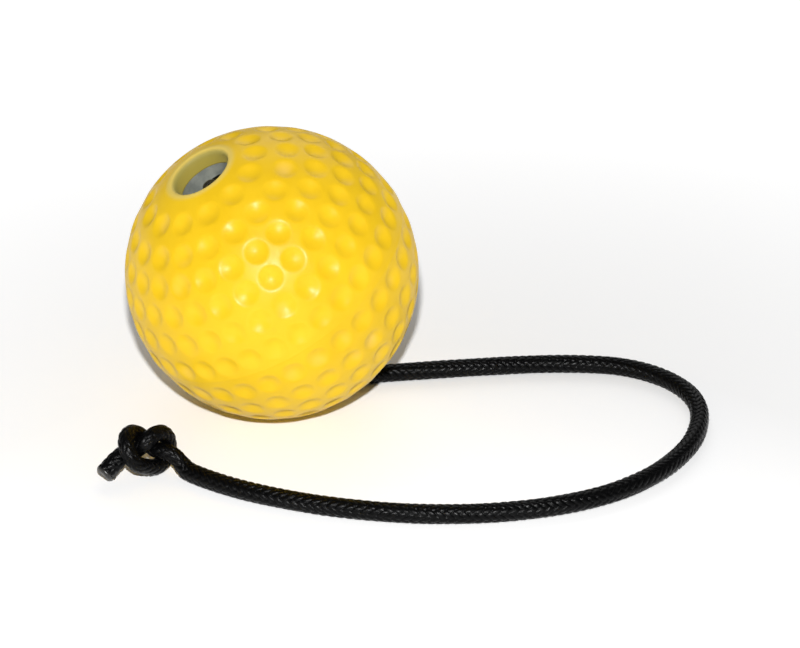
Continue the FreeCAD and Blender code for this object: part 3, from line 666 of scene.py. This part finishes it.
def ball_cover():
    """Turned profile about the bore, with dimples pressed into the outside."""
    rings = cover_profile()
    verts, kinds = [], []
    for count, radius, height, kind in rings:
        f = np.linspace(0, 2 * np.pi, count, endpoint=False)
        verts.append(np.stack([radius * np.cos(f), radius * np.sin(f), np.full(count, height)], 1))
        kinds += [kind] * count
    verts = np.concatenate(verts)
    kinds = np.array(kinds)
    skin, wall = kinds == "skin", kinds == "wall"
    unit = verts / np.linalg.norm(verts, axis=1)[:, None]

    bore_basis = basis(AXIS)
    depth, skin_bowl = dimple_depth(unit[skin], dimple_centres(bore_basis))
    from_equator = (np.arccos(np.clip(unit[skin][:, 2], -1, 1)) - math.pi / 2) * BALL_RADIUS
    seam = SEAM_HEIGHT * np.exp(-((from_equator / SEAM_WIDTH) ** 2))
    verts[skin] -= unit[skin] * (depth - seam)[:, None]

    # colour masks
    bowl = np.zeros(len(verts))
    bowl[skin] = skin_bowl
    off_axis = np.hypot(verts[:, 0], verts[:, 1])
    rim = np.where(unit[:, 2] > 0, 1 - smoothstep(off_axis, 8.6, 10.1), 0)
    rim[wall] *= np.clip((verts[wall][:, 2] - 33.2) / 1.4, 0, 1)  # fades down the wall
    rim[(kinds == "inside") | (kinds == "exit")] = 0
    # painted shade mask: the bore's wall, the inner edge of the mouth's lip and the exit hole,
    # darkened by it in the shader
    dark = np.where(wall | (kinds == "lip"), np.clip((8.1 - off_axis) / 0.6, 0, 1), 0.0)
    dark[kinds == "exit"] = 0.6

    cover = add_mesh(
        "ball_cover_dimpled", verts @ bore_basis.T + CENTRE, stitch([ring[0] for ring in rings]),
        MAT_YELLOW, floats={"rim": rim, "bowl": bowl, "wall": dark},
    )
    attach(cover, "ball")
    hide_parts("ball_cover")


ball_cover()


# ---------------------------------------------------------------- cord pieces
def ring_quads(rows, columns):
    """Quads of a tube of rings."""
    r = np.arange(rows - 1)[:, None] * columns
    t = np.arange(columns)[None, :]
    t2 = (t + 1) % columns
    quads = [r + t, r + t2, r + columns + t2, r + columns + t]
    return np.stack(quads, -1).reshape(-1, 4).tolist()


def cord_piece(name, start, end):
    """The braided surface between two lengths, closed by a flat disc at each end."""
    a, b = (int(round(s / TOTAL * (RING_COUNT - 1))) for s in (start, end))
    rings = slice(a, b + 1)
    sheath = SURFACE[rings].reshape(-1, 3)
    faces = ring_quads(b + 1 - a, RING_POINTS)
    # the discs have vertices of their own, so the sheath's shading doesn't turn over its edge
    disc = RING_POINTS + 1
    verts = np.concatenate([sheath, SURFACE[a], [LINE[a]], SURFACE[b], [LINE[b]]])
    normals = np.concatenate([
        NORMALS[rings].reshape(-1, 3),
        np.repeat([-TANGENT[a]], disc, 0),
        np.repeat([TANGENT[b]], disc, 0),
    ])
    disc_a = len(sheath)
    disc_b = disc_a + disc
    for k in range(RING_POINTS):
        k2 = (k + 1) % RING_POINTS
        faces.append([disc_a + k2, disc_a + k, disc_a + RING_POINTS])
        faces.append([disc_b + k, disc_b + k2, disc_b + RING_POINTS])
    strand = np.concatenate([STRAND[rings].reshape(-1, 3), np.zeros((2 * disc, 3))])
    return add_mesh(name, verts, faces, MAT_CORD, normals, vectors={"strand": strand})


def between(k):
    """Half way from hinge k to the next."""
    return 0.5 * (MARK[k] + MARK[k + 1])


# Pieces in order from the inner knot, each starting where the last one ends:
# name, end, body, next body, (mark it bends at, blend before, blend after), CAD node replaced
RUNS = ["exit_bend"] + ["run_%02d" % k for k in range(1, 14)]
PIECES = [
    ("cord_inner_knot", MARK["seat"] + 3.0, "bore_length", None, None, "inner_knot_sheath"),
    ("cord_in_bore", MARK["exit"] - 6.0, "bore_length", None, None, "bore_sheath"),
    ("cord_at_exit", MARK["foot"] + 0.6, "bore_length", "exit_bend", ("exit", 3.6, 3.6),
     "exit_sheath"),
]
for k in range(1, 14):
    bend = (k, 4.2 if k == 1 else 5.0, 5.0)
    PIECES.append(
        ("cord_bend_%02d" % k, between(k), RUNS[k - 1], RUNS[k], bend, "sheath_%02d" % k)
    )
PIECES += [
    ("cord_into_knot", MARK[14] + 4.6, "run_13", "end_knot", (14, 5.0, 3.9), None),
    ("cord_end_knot", MARK["tail"] - 3.4, "end_knot", None, None, "end_knot_sheath"),
    ("cord_tail", TOTAL, "end_knot", "tail", ("tail", 3.0, 3.0), "tail_sheath"),
]

start = 0.0
for name, end, body, next_body, bend, replaced in PIECES:
    ob = cord_piece(name, start, end)
    if bend is None:
        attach(ob, body)
    else:
        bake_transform(ob)
    if replaced:
        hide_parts(replaced)
    start = end

# Profile of a melted end: height beyond the cut, and radius as a share of the end's radius.
MELT_PROFILE = [
    (-0.5, 0.90), (-0.15, 1.0), (0.12, 1.03), (0.35, 1.0), (0.55, 0.93),
    (0.70, 0.82), (0.80, 0.68), (0.86, 0.52), (0.89, 0.34), (0.90, 0.16),
]


def melted_end(name, ring, radius, body, replaced, seed):
    """A low lumpy dome of melted braid over the cut end at ring 0 or -1."""
    first = ring == 0
    centre = LINE[ring]
    direction = -TANGENT[ring] if first else TANGENT[ring]
    rng = np.random.default_rng(seed)
    waves = 6
    size = rng.normal(0, 1, waves) / np.arange(1, waves + 1)
    phase = rng.uniform(0, 6.28, waves)
    columns = 48
    f = np.linspace(0, 2 * np.pi, columns, endpoint=False)
    wobble = sum(size[k] * np.cos((k + 2) * f + phase[k]) for k in range(waves)) * 0.05
    verts = []
    for height, share in MELT_PROFILE:
        r = radius * share * (1 + wobble * (0.6 + 0.4 * share))
        lift = height + 0.10 * np.cos(2 * f + phase[0]) * max(0, height)
        across = np.outer(r * np.cos(f), SIDE[ring]) + np.outer(r * np.sin(f), SIDE_2[ring])
        verts.append(centre + np.outer(lift, direction) + across)
    top, bottom = MELT_PROFILE[-1][0], MELT_PROFILE[0][0]
    verts += [[centre + direction * top], [centre + direction * bottom]]
    rows = len(MELT_PROFILE)
    faces = ring_quads(rows, columns)
    for k in range(columns):
        k2 = (k + 1) % columns
        faces.append([(rows - 1) * columns + k, (rows - 1) * columns + k2, rows * columns])
        faces.append([k2, k, rows * columns + 1])
    if first:
        faces = [face[::-1] for face in faces]
    ob = add_mesh(name, np.concatenate(verts), faces, MAT_MELT)
    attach(ob, body)
    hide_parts(replaced)


melted_end("melted_end_inner", 0, KNOT_CORD_RADIUS * 0.93, "bore_length", "inner_tip", seed=7)
melted_end("melted_end_outer", -1, CORD_RADIUS * 0.95, "tail", "tail_tip", seed=11)

# ---------------------------------------------------------------- CAD nodes that stay
for name, ob in frame["nodes"].items():
    if ob.hide_render:
        continue
    ob.data.materials.clear()
    ob.data.materials.append(MAT_GREY if name == "ball_core" else MAT_CORE)


# ---------------------------------------------------------------- floor, light and camera
def add_floor():
    material = floor_material()
    bpy.ops.mesh.primitive_plane_add(size=6.0, location=(0, 0, 0))
    floor = bpy.context.object
    floor.name = "floor"
    floor.data.materials.append(material)


def add_world():
    """A dim white surround that the camera sees as full white."""
    world = bpy.data.worlds.new("studio")
    bpy.context.scene.world = world
    world.use_nodes = True
    nodes, links = world.node_tree.nodes, world.node_tree.links
    nodes.clear()
    dim = nodes.new("ShaderNodeBackground")
    dim.inputs["Color"].default_value = (1, 1, 1, 1)
    dim.inputs["Strength"].default_value = 0.12
    output = nodes.new("ShaderNodeOutputWorld")
    seen = nodes.new("ShaderNodeBackground")
    seen.inputs["Color"].default_value = (1, 1, 1, 1)
    light_path = nodes.new("ShaderNodeLightPath")
    mix = nodes.new("ShaderNodeMixShader")
    links.new(light_path.outputs["Is Camera Ray"], mix.inputs[0])
    links.new(dim.outputs[0], mix.inputs[1])
    links.new(seen.outputs[0], mix.inputs[2])
    links.new(mix.outputs[0], output.inputs[0])


def add_lamp(name, position, size, power):
    """A round lamp aimed at the ball's centre."""
    data = bpy.data.lights.new(name, "AREA")
    data.shape = "DISK"
    data.size = size
    data.energy = power
    lamp = bpy.data.objects.new(name, data)
    lamp.location = position
    aim = Vector(tuple(CENTRE * MM)) - Vector(position)
    lamp.rotation_euler = aim.to_track_quat("-Z", "Y").to_euler()
    bpy.context.scene.collection.objects.link(lamp)


def add_camera(position, pitch_down, lens):
    """A camera that looks towards +Y and down."""
    data = bpy.data.cameras.new("camera")
    data.lens = lens
    data.sensor_width = 36.0
    data.clip_start = 0.01
    camera = bpy.data.objects.new("camera", data)
    camera.location = position
    camera.rotation_euler = (math.pi / 2 - math.radians(pitch_down), 0, 0)
    bpy.context.scene.collection.objects.link(camera)
    bpy.context.scene.camera = camera


add_floor()
add_world()
# one small key lamp close above the camera, so the shadow shows as a thin crescent
add_lamp("key", position=(0.026, -0.496, 0.3435), size=0.018, power=4.7)
# a weak broad fill from behind, so the far side isn't lost
add_lamp("fill", position=(0.10, 0.80, 0.62), size=0.8, power=2.1)
add_camera(position=(0.03183, -0.55816, 0.3127), pitch_down=27.5, lens=112.5)
bpy.context.scene.view_settings.view_transform = "Standard"
